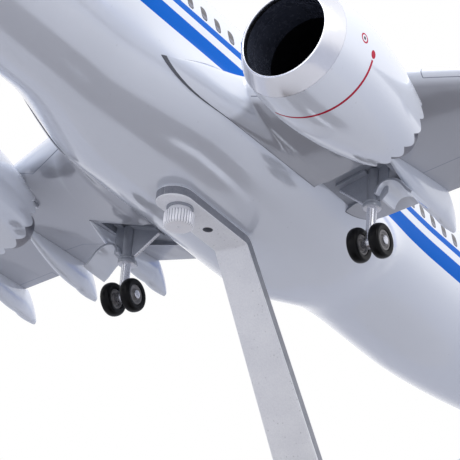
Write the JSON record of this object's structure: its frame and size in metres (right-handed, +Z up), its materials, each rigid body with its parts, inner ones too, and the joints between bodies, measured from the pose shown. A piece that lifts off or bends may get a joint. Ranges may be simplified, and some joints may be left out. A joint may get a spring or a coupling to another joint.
{
  "type": "model airliner",
  "caption": "Desk model of a twin-engined airliner, wheels down, held nose-up on a bent metal arm over a flat base board; fans and wheels turn, and a knurled screw holds it to the arm.",
  "frame": {"origin": "centre of the base's flat underside, on the surface the model stands on", "axes": "+X runs forward along the base, under the nose; +Y to the aircraft's left (port); +Z up. The aircraft is pitched nose-up about Y on its stand."},
  "size_m": [0.479, 0.4268, 0.2339],
  "materials": {
    "lacquer": "glossy white lacquer with blue cheat lines",
    "intake_chrome": "polished",
    "engine_metal": "dark satin",
    "gear_metal": "satin with polished collars",
    "tyre": "glossy black",
    "hub": "dark satin",
    "stand_metal": "sandblasted, pitted",
    "screw_metal": "bright, knurled",
    "insert_brass": "plain",
    "board": "satin varnish",
    "felt": "felt"
  },
  "bodies": {
    "airframe_on_stand": {"fuselage": "lacquer", "belly_insert": "insert_brass", "fin": "lacquer", "left_wing": "lacquer", "right_wing": "lacquer", "left_winglet": "lacquer", "right_winglet": "lacquer", "left_flap_fairings": "lacquer", "right_flap_fairings": "lacquer", "left_tailplane": "lacquer", "right_tailplane": "lacquer", "left_pylon": "lacquer", "right_pylon": "lacquer", "left_nacelle": "lacquer", "right_nacelle": "lacquer", "left_intake_lip": "intake_chrome", "right_intake_lip": "intake_chrome", "left_core_nozzle": "engine_metal", "right_core_nozzle": "engine_metal", "left_exhaust_plug": "engine_metal", "right_exhaust_plug": "engine_metal", "left_main_leg": "gear_metal", "right_main_leg": "gear_metal", "left_gear_brace": "gear_metal", "right_gear_brace": "gear_metal", "left_gear_door": "lacquer", "right_gear_door": "lacquer", "left_main_axle": "gear_metal", "right_main_axle": "gear_metal", "nose_leg": "gear_metal", "nose_axle": "gear_metal", "nose_gear_doors": "lacquer", "stand_arm": "stand_metal", "base_board": "board", "base_screws": "screw_metal", "base_felt": "felt"},
    "left_fan_rotor": {"left_fan": "engine_metal"},
    "right_fan_rotor": {"right_fan": "engine_metal"},
    "left_outer_wheel": {"left_outer_tyre": "tyre", "left_outer_hub": "hub"},
    "left_inner_wheel": {"left_inner_tyre": "tyre", "left_inner_hub": "hub"},
    "right_outer_wheel": {"right_outer_tyre": "tyre", "right_outer_hub": "hub"},
    "right_inner_wheel": {"right_inner_tyre": "tyre", "right_inner_hub": "hub"},
    "left_nose_wheel": {"left_nose_tyre": "tyre", "left_nose_hub": "hub"},
    "right_nose_wheel": {"right_nose_tyre": "tyre", "right_nose_hub": "hub"},
    "washer": {"screw_washer": "screw_metal"},
    "screw": {"thumb_screw": "screw_metal"}
  },
  "joints": [
    {"name": "left_fan_spin", "type": "hinge", "parent": "airframe_on_stand", "child": "left_fan_rotor", "pos_m": [0.05307, 0.0568, 0.15769], "axis": [0.9893, 0, 0.1461], "continuous": true},
    {"name": "right_fan_spin", "type": "hinge", "parent": "airframe_on_stand", "child": "right_fan_rotor", "pos_m": [0.05307, -0.0568, 0.15769], "axis": [0.9893, 0, 0.1461], "continuous": true},
    {"name": "left_outer_wheel_roll", "type": "hinge", "parent": "airframe_on_stand", "child": "left_outer_wheel", "pos_m": [-0.00176, 0.04015, 0.13605], "axis": [0, 1, 0], "continuous": true},
    {"name": "left_inner_wheel_roll", "type": "hinge", "parent": "airframe_on_stand", "child": "left_inner_wheel", "pos_m": [-0.00176, 0.03395, 0.13605], "axis": [0, 1, 0], "continuous": true},
    {"name": "right_outer_wheel_roll", "type": "hinge", "parent": "airframe_on_stand", "child": "right_outer_wheel", "pos_m": [-0.00176, -0.04015, 0.13605], "axis": [0, 1, 0], "continuous": true},
    {"name": "right_inner_wheel_roll", "type": "hinge", "parent": "airframe_on_stand", "child": "right_inner_wheel", "pos_m": [-0.00176, -0.03395, 0.13605], "axis": [0, 1, 0], "continuous": true},
    {"name": "left_nose_wheel_roll", "type": "hinge", "parent": "airframe_on_stand", "child": "left_nose_wheel", "pos_m": [0.17257, 0.0023, 0.16028], "axis": [0, 1, 0], "continuous": true},
    {"name": "right_nose_wheel_roll", "type": "hinge", "parent": "airframe_on_stand", "child": "right_nose_wheel", "pos_m": [0.17257, -0.0023, 0.16028], "axis": [0, 1, 0], "continuous": true},
    {"name": "screw_travel", "type": "slide", "parent": "airframe_on_stand", "child": "washer", "axis": [0.1461, 0, -0.9893], "range_m": [0, 0.0056]},
    {"name": "screw_turn", "type": "hinge", "parent": "washer", "child": "screw", "pos_m": [0.02692, 0, 0.14382], "axis": [0.1461, 0, -0.9893], "range_deg": [0, 2881]}
  ],
  "couplings": [
    {"joint": "screw_turn", "follows": "screw_travel", "rad_per_m": 8976}
  ]
}
